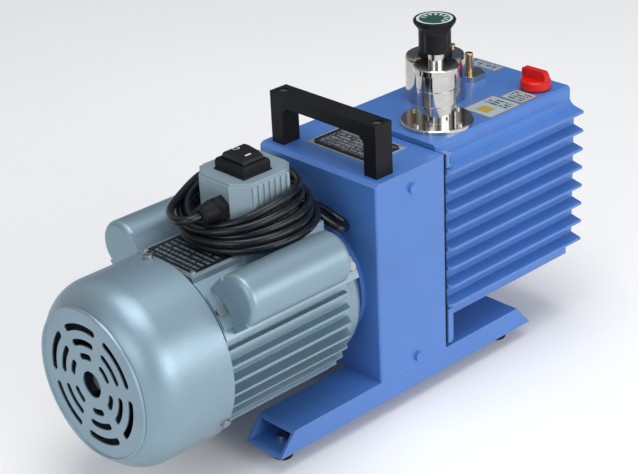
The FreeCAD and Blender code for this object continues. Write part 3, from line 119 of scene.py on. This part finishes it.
def cord_curve():
    route = LEAD_ROUTE + coil_points() + TAIL_ROUTE
    data = bpy.data.curves.new("mains_cord", "CURVE")
    data.dimensions = "3D"
    data.bevel_depth = 1.0   # scaled by each point's radius, so the curve's own box is true
    data.bevel_resolution = 5
    data.use_fill_caps = True
    spline = data.splines.new("NURBS")
    spline.points.add(len(route) - 1)
    for point, (x, y, z) in zip(spline.points, route):
        point.co = (*mm(BRACKET_FRONT + x, y, z), 1)
        point.radius = CORD_RADIUS * MM
    spline.order_u = 3
    spline.use_endpoint_u = True
    spline.resolution_u = 6
    cord = bpy.data.objects.new("mains_cord", data)
    bpy.context.scene.collection.objects.link(cord)
    return cord


mains_cord = cord_curve()
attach(mains_cord, "housing")
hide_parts("cord_lead", "cord_coil", "cord_tail")


# ---------------------------------------------------------------- materials

# How far a normal turns across an edge before the edge lightening starts, and where it is full. The
# lightening is rubbed or worn edges, and on the two paints also a painted highlight.
EDGE_START, EDGE_END = 0.02, 0.3


class Graph:
    """Short-hand for building one material's nodes."""

    def __init__(self, name):
        self.material = bpy.data.materials.new(name)
        self.material.use_nodes = True
        self.tree = self.material.node_tree
        self.shader = self.tree.nodes["Principled BSDF"]
        self.place = self.node("ShaderNodeTexCoord").outputs["Object"]

    def node(self, kind, **settings):
        made = self.tree.nodes.new(kind)
        for name, value in settings.items():
            setattr(made, name, value)
        return made

    def link(self, source, target):
        if isinstance(source, (int, float, tuple)):
            target.default_value = source
        else:
            self.tree.links.new(source, target)

    def math(self, operation, *values):
        made = self.node("ShaderNodeMath", operation=operation)
        for value, socket in zip(values, made.inputs):
            self.link(value, socket)
        return made.outputs[0]

    def axes(self):
        return self.split(self.place)

    def split(self, vector):
        made = self.node("ShaderNodeSeparateXYZ")
        self.link(vector, made.inputs[0])
        return made.outputs

    def scaled(self, scale):
        made = self.node("ShaderNodeMapping")
        made.inputs["Scale"].default_value = scale
        self.link(self.place, made.inputs["Vector"])
        return made.outputs[0]

    def noise(self, scale, detail=2.0, rough=0.5, vector=None):
        made = self.node("ShaderNodeTexNoise")
        made.inputs["Scale"].default_value = scale
        made.inputs["Detail"].default_value = detail
        made.inputs["Roughness"].default_value = rough
        self.link(vector or self.place, made.inputs["Vector"])
        return made.outputs["Fac"]

    def ramp(self, value, low, high, start=0.0, end=1.0):
        made = self.node("ShaderNodeMapRange")
        made.inputs["From Min"].default_value = start
        made.inputs["From Max"].default_value = end
        made.inputs["To Min"].default_value = low
        made.inputs["To Max"].default_value = high
        self.link(value, made.inputs["Value"])
        return made.outputs[0]

    def mix(self, factor, a, b):
        made = self.node("ShaderNodeMix", data_type="RGBA")
        for value, socket in ((factor, made.inputs[0]), (a, made.inputs[6]), (b, made.inputs[7])):
            self.link(value if not isinstance(value, tuple) else (*value, 1.0), socket)
        return made.outputs[2]

    def bump(self, height, depth, normal):
        made = self.node("ShaderNodeBump")
        made.inputs["Strength"].default_value = 1.0
        made.inputs["Distance"].default_value = depth
        self.link(height, made.inputs["Height"])
        self.link(normal, made.inputs["Normal"])
        return made.outputs[0]

    def soft_edges(self, radius):
        made = self.node("ShaderNodeBevel", samples=4)
        made.inputs["Radius"].default_value = radius
        return made.outputs[0]

    def edges(self, radius):
        """1 on the object's sharp edges, 0 away from them."""
        normal = self.node("ShaderNodeNewGeometry").outputs["Normal"]
        dot = self.node("ShaderNodeVectorMath", operation="DOT_PRODUCT")
        self.link(self.soft_edges(radius), dot.inputs[0])
        self.link(normal, dot.inputs[1])
        turned = self.math("SUBTRACT", 1.0, dot.outputs["Value"])
        return self.ramp(turned, 0.0, 1.0, EDGE_START, EDGE_END)

    def band(self, value, low, high):
        """1 where the value lies between two limits."""
        return self.math("MULTIPLY", self.math("GREATER_THAN", value, low),
                         self.math("LESS_THAN", value, high))

    def box(self, x, y, limits):
        """1 inside a rectangle given as its x limits and its y limits."""
        return self.both(self.band(x, *limits[0]), self.band(y, *limits[1]))

    def reach(self, x, y):
        squares = self.math("ADD", self.math("MULTIPLY", x, x), self.math("MULTIPLY", y, y))
        return self.math("SQRT", squares)

    def both(self, *masks):
        mask = masks[0]
        for other in masks[1:]:
            mask = self.math("MULTIPLY", mask, other)
        return mask

    def either(self, *masks):
        mask = masks[0]
        for other in masks[1:]:
            mask = self.math("MAXIMUM", mask, other)
        return mask

    def place_mm(self, piece):
        """The shared frame's x, y and z in millimetres, for a piece at rest."""
        start = piece.matrix_world.translation
        return [self.math("MULTIPLY_ADD", axis, 1 / MM, offset / MM)
                for axis, offset in zip(self.axes(), start)]

    def rows(self, along, across, pitch, fill, seed):
        """Broken strokes in rows, standing in for small print."""
        row = self.math("DIVIDE", across, pitch)
        line = self.band(self.math("FRACT", row), 0.25, 0.25 + fill)
        spot = self.node("ShaderNodeCombineXYZ")
        self.link(self.math("MULTIPLY", along, 0.55), spot.inputs[0])
        self.link(self.math("MULTIPLY", self.math("FLOOR", row), 7.3), spot.inputs[1])
        self.link(float(seed), spot.inputs[2])
        strokes = self.math("GREATER_THAN", self.noise(1.0, 1.0, 0.5, spot.outputs[0]), 0.46)
        return self.both(line, strokes)

    def set(self, **sockets):
        names = {"colour": "Base Color", "rough": "Roughness", "metal": "Metallic",
                 "normal": "Normal", "coat": "Coat Weight", "coat_rough": "Coat Roughness",
                 "specular": "Specular IOR Level"}
        for name, value in sockets.items():
            if name == "colour" and isinstance(value, tuple):
                value = (*value, 1.0)
            self.link(value, self.shader.inputs[names[name]])
        return self.material


def shade(colour, factor):
    return tuple(min(1.0, c * factor) for c in colour)


def powder_coat(name, colour, rough=0.34):
    """Glossy stove enamel: faint orange peel, slight colour drift, thin paint and a painted
    highlight on edges.
    """
    g = Graph(name)
    drift = g.noise(9.0, 3.0)
    base = g.mix(g.ramp(drift, 0.0, 1.0, 0.35, 0.65), shade(colour, 0.96), shade(colour, 1.05))
    dust = g.ramp(g.noise(60.0, 5.0, 0.7), 0.0, 0.22, 0.56, 0.8)
    base = g.mix(dust, base, shade(colour, 1.25))
    # Patches of lighter edges: partly worn paint, partly a painted highlight where edges catch the
    # light.
    patches = g.ramp(g.noise(140.0, 4.0, 0.7), 0.15, 0.75, 0.35, 0.7)
    edge_wear_and_highlight = g.math("MULTIPLY", g.edges(0.0012), patches)
    base = g.mix(edge_wear_and_highlight, base, tuple(0.5 * c + 0.32 for c in colour))
    peel = g.bump(g.noise(520.0, 2.0), 0.00012, g.soft_edges(0.0008))
    scuffs = g.ramp(g.noise(34.0, 6.0, 0.7), rough - 0.05, rough + 0.09, 0.3, 0.7)
    return g.set(colour=base, rough=scuffs, normal=peel, coat=0.25, coat_rough=0.18)


def silver_paint(name, colour, rough=0.36):
    """Aluminium paint: metallic flake, a fine sparkle and soft dents."""
    g = Graph(name)
    flake = g.noise(2600.0, 1.0)
    cloud = g.noise(16.0, 4.0, 0.6)
    base = g.mix(g.ramp(flake, 0.0, 1.0, 0.3, 0.7), shade(colour, 0.88), shade(colour, 1.1))
    base = g.mix(g.ramp(cloud, 0.0, 0.5, 0.4, 0.75), base, shade(colour, 0.9))
    # Patches of lighter edges: partly worn paint, partly a painted highlight where edges catch the
    # light.
    patches = g.ramp(g.noise(120.0, 4.0, 0.7), 0.1, 0.6, 0.35, 0.7)
    edge_wear_and_highlight = g.math("MULTIPLY", g.edges(0.0012), patches)
    base = g.mix(edge_wear_and_highlight, base, shade(colour, 1.45))
    peel = g.bump(g.noise(700.0, 2.0), 0.0001, g.soft_edges(0.0008))
    return g.set(colour=base, rough=g.ramp(cloud, rough - 0.04, rough + 0.08, 0.3, 0.7), metal=0.55,
                 normal=peel)


def moulded(name, colour, rough, grain=0.00008, gloss=0.0, specular=0.5):
    """Moulded plastic or rubber: a fine spark-eroded grain and lighter rubbed edges."""
    g = Graph(name)
    cloud = g.ramp(g.noise(45.0, 5.0, 0.7), 0.0, 1.0, 0.4, 0.7)
    base = g.mix(cloud, shade(colour, 0.9), shade(colour, 1.25))
    rubbed = g.math("MULTIPLY", g.edges(0.0010), 0.45)
    base = g.mix(rubbed, base, tuple(c + 0.03 for c in colour))
    bumps = g.bump(g.noise(1500.0, 3.0, 0.6), grain, g.soft_edges(0.0008))
    rougher = g.ramp(g.noise(80.0, 4.0), rough - 0.06, rough + 0.08, 0.3, 0.7)
    return g.set(colour=base, rough=rougher, normal=bumps, coat=gloss, coat_rough=0.12,
                 specular=specular)


def bare_metal(name, colour, rough, stretch=(1, 1, 1), scratch=0.00003, fine=900.0):
    """Machined or plated metal with a directional grain and light tarnish."""
    g = Graph(name)
    grain = g.noise(fine, 2.0, 0.6, g.scaled(stretch))
    cloud = g.noise(70.0, 4.0, 0.6)
    base = g.mix(g.ramp(cloud, 0.0, 1.0, 0.35, 0.7), shade(colour, 1.03), shade(colour, 0.86))
    rougher = g.math("ADD", g.ramp(grain, -0.03, 0.05, 0.3, 0.7),
                     g.ramp(cloud, rough, rough + 0.06, 0.3, 0.7))
    brushed = g.bump(grain, scratch, g.soft_edges(0.0005))
    return g.set(colour=base, rough=rougher, metal=1.0, normal=brushed)


BLUE = (0.058, 0.168, 0.480)
SILVER = (0.235, 0.335, 0.405)
GREY = (0.290, 0.385, 0.440)
BLACK = (0.007, 0.008, 0.010)

MATERIALS = {
    "blue": powder_coat("blue_paint", BLUE),
    "silver": silver_paint("silver_paint", SILVER),
    "grey": silver_paint("grey_paint", GREY, 0.5),
    "plastic": moulded("black_plastic", BLACK, 0.45, specular=0.14),
    "rubber": moulded("black_rubber", (0.009, 0.009, 0.010), 0.6, 0.00015, specular=0.15),
    "jacket": moulded("cord_jacket", (0.004, 0.006, 0.009), 0.30, 0.00002, 0.3, specular=0.2),
    "chrome": bare_metal("chrome", (0.56, 0.55, 0.53), 0.08, (1, 1, 14), 0.000006, 300.0),
    "brass": bare_metal("brass", (0.50, 0.34, 0.17), 0.27, (1, 1, 10)),
    "red": moulded("red_plastic", (0.60, 0.008, 0.005), 0.34, 0.00003, 0.1, specular=0.25),
    "zinc": bare_metal("zinc_steel", (0.55, 0.56, 0.58), 0.28),
    "aluminium": bare_metal("brushed_aluminium", (0.66, 0.68, 0.70), 0.32, (14, 1, 1)),
    "core": bare_metal("lamination_steel", (0.28, 0.29, 0.31), 0.45, (30, 1, 1)),
    "copper": bare_metal("enamelled_copper", (0.60, 0.26, 0.10), 0.34, (1, 8, 8)),
    "iron": bare_metal("ground_iron", (0.26, 0.26, 0.27), 0.42),
    "vane": moulded("vane_composite", (0.09, 0.06, 0.035), 0.5),
}

# The slots of NODE_LOOKS' own nodes are not here.
SLOT_LOOKS = {
    "blue_casting": "blue", "blue_steel": "blue", "silver_casting": "silver",
    "silver_steel": "silver", "grey_casting": "grey", "black_plastic": "plastic",
    "black_rubber": "rubber", "cord_jacket": "jacket",
    "chrome": "chrome", "brass": "brass", "red_plastic": "red", "zinc_steel": "zinc",
    "bare_aluminium": "aluminium", "core_steel": "core", "copper": "copper",
    "grey_iron": "iron", "vane_composite": "vane",
}


# Millimetres in the shared frame, as x limits and y limits.
BRACKET_FIELD = ((18.0, 63.6), (-36.2, 40.2))
BRACKET_PRINT = ((24.0, 60.0), (-31.0, 35.0))
BRACKET_RULED = ((22.0, 61.0), (-33.0, 37.0))
BRACKET_PITCH = 5.2
MOTOR_FIELD = ((-187.0, -136.4), (-33.2, 33.2))
MOTOR_PRINT = ((-183.0, -141.0), (-29.0, 29.0))
STICKERS = [((159.5, 201.1), (-56.8, -23.2)), ((205.8, 227.6), (-54.9, -30.1)),
            ((253.4, 266.2), (20.2, 51.8))]
STICKER_PRINT = [((183.0, 199.0), (-54.0, -26.0)), ((208.0, 226.0), (-53.0, -32.0)),
                 ((255.0, 265.0), (22.0, 50.0))]
STICKER_BLOCK = ((165.0, 178.0), (-47.0, -32.0))
DIAL_CENTRE = (166.3, 19.0)
DIAL_RIM = (14.8, 18.0)
DIAL_MARKS = (9.0, 13.6)
DIAL_FAN = (-1.9, 2.2)   # bearings between which the marks lie, in radians
ROCKER_CENTRE = (-99.7, -3.0)
ROCKER_BAR = ((-3.2, 3.2), (-8.6, -7.0))
ROCKER_RING_Y = 7.4
ROCKER_RING = (2.2, 3.2)
ROCKER_MARK_HEIGHT = 268.0
OIL = (0.30, 0.15, 0.025)


def mixed_screws():
    """Plated pan heads on the motor, painted over where they hold the bracket's sides."""
    g = Graph("housing_screws")
    x = g.place_mm(NODES["housing_screws"])[0]
    painted = g.math("GREATER_THAN", x, 0.0)
    base = g.mix(painted, (0.34, 0.35, 0.36), shade(BLUE, 1.1))
    return g.set(colour=base, rough=0.42, metal=g.ramp(painted, 1.0, 0.0),
                 normal=g.soft_edges(0.0006))


def bracket_plate():
    """Black plate with a bare rim, two ruled columns and rows of small print."""
    g = Graph("bracket_plate")
    x, y, _ = g.place_mm(NODES["bracket_nameplate"])
    field = g.box(x, y, BRACKET_FIELD)
    line = g.math("FRACT", g.math("DIVIDE", x, BRACKET_PITCH))
    rules = g.either(g.band(line, 0.0, 0.08), g.band(y, 1.6, 2.2))
    ruled = g.both(g.box(x, y, BRACKET_RULED), rules)
    printed = g.both(g.box(x, y, BRACKET_PRINT), g.rows(y, x, BRACKET_PITCH, 0.5, 3))
    ink = g.either(printed, ruled)
    base = g.mix(field, (0.50, 0.52, 0.54), (0.012, 0.014, 0.018))
    base = g.mix(g.both(field, ink), base, (0.42, 0.44, 0.46))
    scratches = g.ramp(g.noise(60.0, 5.0, 0.7), 0.26, 0.42, 0.3, 0.7)
    return g.set(colour=base, rough=scratches, metal=0.6, normal=g.soft_edges(0.0003))


def motor_plate():
    """Dark plate with a bare rim and rows of small print."""
    g = Graph("motor_plate")
    x, y, _ = g.place_mm(NODES["motor_nameplate"])
    field = g.box(x, y, MOTOR_FIELD)
    ink = g.both(g.box(x, y, MOTOR_PRINT), g.rows(y, x, 6.0, 0.45, 11))
    base = g.mix(field, (0.36, 0.40, 0.43), (0.018, 0.030, 0.042))
    base = g.mix(g.both(field, ink), base, (0.26, 0.31, 0.34))
    smudges = g.ramp(g.noise(90.0, 5.0, 0.7), 0.18, 0.40, 0.3, 0.7)
    return g.set(colour=base, rough=smudges, metal=0.6, normal=g.soft_edges(0.0003))


def tank_stickers():
    """Three pale stickers with rows of print, a toned rim and one ochre block."""
    g = Graph("tank_stickers")
    x, y, _ = g.place_mm(NODES["tank_labels"])
    inside = g.either(*[g.box(x, y, limits) for limits in STICKERS])
    print_area = g.either(*[g.box(x, y, limits) for limits in STICKER_PRINT])
    ink = g.both(print_area, g.rows(y, x, 4.6, 0.6, 5))
    block = g.box(x, y, STICKER_BLOCK)
    base = g.mix(inside, (0.30, 0.17, 0.07), (0.36, 0.44, 0.48))
    base = g.mix(ink, base, (0.02, 0.04, 0.045))
    base = g.mix(block, base, (0.42, 0.30, 0.05))
    return g.set(colour=base, rough=0.34, coat=0.2, coat_rough=0.2)


def dial_face():
    """Green disc with a white rim and a fan of white marks."""
    g = Graph("dial_face")
    x, y, _ = g.place_mm(NODES["ballast_dial"])
    x, y = g.math("SUBTRACT", x, DIAL_CENTRE[0]), g.math("SUBTRACT", y, DIAL_CENTRE[1])
    reach = g.reach(x, y)
    turn = g.math("ARCTAN2", y, x)
    rim = g.band(reach, *DIAL_RIM)
    marks = g.both(g.band(reach, *DIAL_MARKS), g.band(turn, *DIAL_FAN),
                   g.band(g.math("FRACT", g.math("MULTIPLY", turn, 2.2)), 0.2, 0.62))
    base = g.mix(g.either(rim, marks), (0.010, 0.075, 0.040), (0.62, 0.72, 0.74))
    return g.set(colour=base, rough=0.3, coat=0.3, coat_rough=0.15)


def marked_rocker():
    """Black rocker with a bar at one end and a ring at the other."""
    g = Graph("marked_rocker")
    x, y, z = g.place_mm(NODES["switch_rocker"])
    x, y = g.math("SUBTRACT", x, ROCKER_CENTRE[0]), g.math("SUBTRACT", y, ROCKER_CENTRE[1])
    upper = g.math("GREATER_THAN", z, ROCKER_MARK_HEIGHT)
    reach = g.reach(x, g.math("SUBTRACT", y, ROCKER_RING_Y))
    marks = g.both(upper, g.either(g.box(x, y, ROCKER_BAR), g.band(reach, *ROCKER_RING)))
    base = g.mix(marks, BLACK, (0.50, 0.52, 0.53))
    bumps = g.bump(g.noise(1500.0, 3.0, 0.6), 0.00002, g.soft_edges(0.0010))
    return g.set(colour=base, rough=0.3, specular=0.2, normal=bumps)


NODE_LOOKS = {
    "housing_screws": mixed_screws(),
    "bracket_nameplate": bracket_plate(),
    "motor_nameplate": motor_plate(),
    "tank_labels": tank_stickers(),
    "ballast_dial": dial_face(),
    "switch_rocker": marked_rocker(),
    "sight_glass": moulded("sight_glass", OIL, 0.06, 0.000005, 1.0),
}


def wear(piece, material):
    piece.data.materials.clear()
    piece.data.materials.append(material)


for part in frame["record"]["subparts"]:
    look = NODE_LOOKS.get(part["node"]) or MATERIALS[SLOT_LOOKS[part["material_slot"]]]
    wear(NODES[part["node"]], look)
wear(mains_cord, MATERIALS["jacket"])


# ---------------------------------------------------------------- floor and light

FLOOR_SIZE = 12.0


def add_floor():
    data = bpy.data.meshes.new("floor")
    half = FLOOR_SIZE / 2
    corners = [(-half, -half, 0), (half, -half, 0), (half, half, 0), (-half, half, 0)]
    data.from_pydata(corners, [], [(0, 1, 2, 3)])
    floor = bpy.data.objects.new("floor", data)
    bpy.context.scene.collection.objects.link(floor)
    g = Graph("pale_floor")
    tone = g.mix(g.ramp(g.noise(3.0), 0.0, 1.0, 0.3, 0.7), (0.90, 0.90, 0.90), (0.92, 0.92, 0.92))
    wear(floor, g.set(colour=tone, rough=0.75))


LIGHT_TARGET = (0, 0, 0.15)


def add_softbox(name, place, size, power):
    data = bpy.data.lights.new(name, "AREA")
    data.shape = "RECTANGLE"
    data.size, data.size_y = size
    data.energy = power
    light = bpy.data.objects.new(name, data)
    light.location = place
    aim = Vector(LIGHT_TARGET) - Vector(place)
    light.rotation_euler = aim.to_track_quat("-Z", "Y").to_euler()
    bpy.context.scene.collection.objects.link(light)


# Brightness round the studio, by bearing from -X through -Y, +X and +Y back to -X.
STUDIO_STOPS = [
    (0.00, (0.20, 0.21, 0.23)), (0.06, (0.05, 0.05, 0.06)), (0.10, (0.75, 0.78, 0.82)),
    (0.15, (0.06, 0.06, 0.07)), (0.19, (0.90, 0.93, 0.97)), (0.27, (1.00, 1.02, 1.05)),
    (0.33, (0.38, 0.21, 0.08)), (0.39, (0.60, 0.62, 0.64)), (0.46, (0.05, 0.05, 0.06)),
    (0.66, (0.10, 0.11, 0.13)), (0.74, (0.45, 0.47, 0.50)), (0.82, (0.30, 0.17, 0.07)),
    (0.88, (0.08, 0.08, 0.09)), (0.95, (0.62, 0.65, 0.68)), (1.00, (0.20, 0.21, 0.23)),
]
STUDIO_CEILING = (0.42, 0.44, 0.47)
# Height on the sky's sphere where the walls end and the ceiling is full.
CEILING_START, CEILING_END = 0.45, 0.85
STUDIO_STRENGTH = 1.15


def add_world():
    """Soft studio: light and dark flats round the walls under an even ceiling."""
    world = bpy.data.worlds.new("studio")
    bpy.context.scene.world = world
    world.use_nodes = True
    tree = world.node_tree

    def math_node(operation, *values):
        made = tree.nodes.new("ShaderNodeMath")
        made.operation = operation
        for value, socket in zip(values, made.inputs):
            if isinstance(value, (int, float)):
                socket.default_value = value
            else:
                tree.links.new(value, socket)
        return made.outputs[0]

    place = tree.nodes.new("ShaderNodeTexCoord")
    split = tree.nodes.new("ShaderNodeSeparateXYZ")
    tree.links.new(place.outputs["Generated"], split.inputs[0])
    bearing = math_node("ARCTAN2", split.outputs["Y"], split.outputs["X"])
    around = math_node("MULTIPLY_ADD", bearing, 0.5 / math.pi, 0.5)
    walls = tree.nodes.new("ShaderNodeValToRGB")
    tree.links.new(around, walls.inputs[0])
    stops = walls.color_ramp.elements
    while len(stops) < len(STUDIO_STOPS):
        stops.new(0.5)
    for stop, (position, colour) in zip(stops, STUDIO_STOPS):
        stop.position = position
        stop.color = (*colour, 1)
    blend = tree.nodes.new("ShaderNodeMix")
    blend.data_type = "RGBA"
    height = tree.nodes.new("ShaderNodeMapRange")
    height.inputs["From Min"].default_value = CEILING_START
    height.inputs["From Max"].default_value = CEILING_END
    tree.links.new(split.outputs["Z"], height.inputs["Value"])
    tree.links.new(height.outputs[0], blend.inputs[0])
    tree.links.new(walls.outputs[0], blend.inputs[6])
    blend.inputs[7].default_value = (*STUDIO_CEILING, 1)
    sky = tree.nodes["Background"]
    tree.links.new(blend.outputs[2], sky.inputs["Color"])
    sky.inputs["Strength"].default_value = STUDIO_STRENGTH


add_floor()
add_world()
add_softbox("key", (0.5, -2.4, 0.95), (2.2, 1.3), 31)
add_softbox("top", (-0.1, -0.2, 2.6), (1.8, 1.8), 36)
add_softbox("side", (-2.3, -0.5, 1.1), (1.3, 1.2), 14)

bpy.context.view_layer.update()
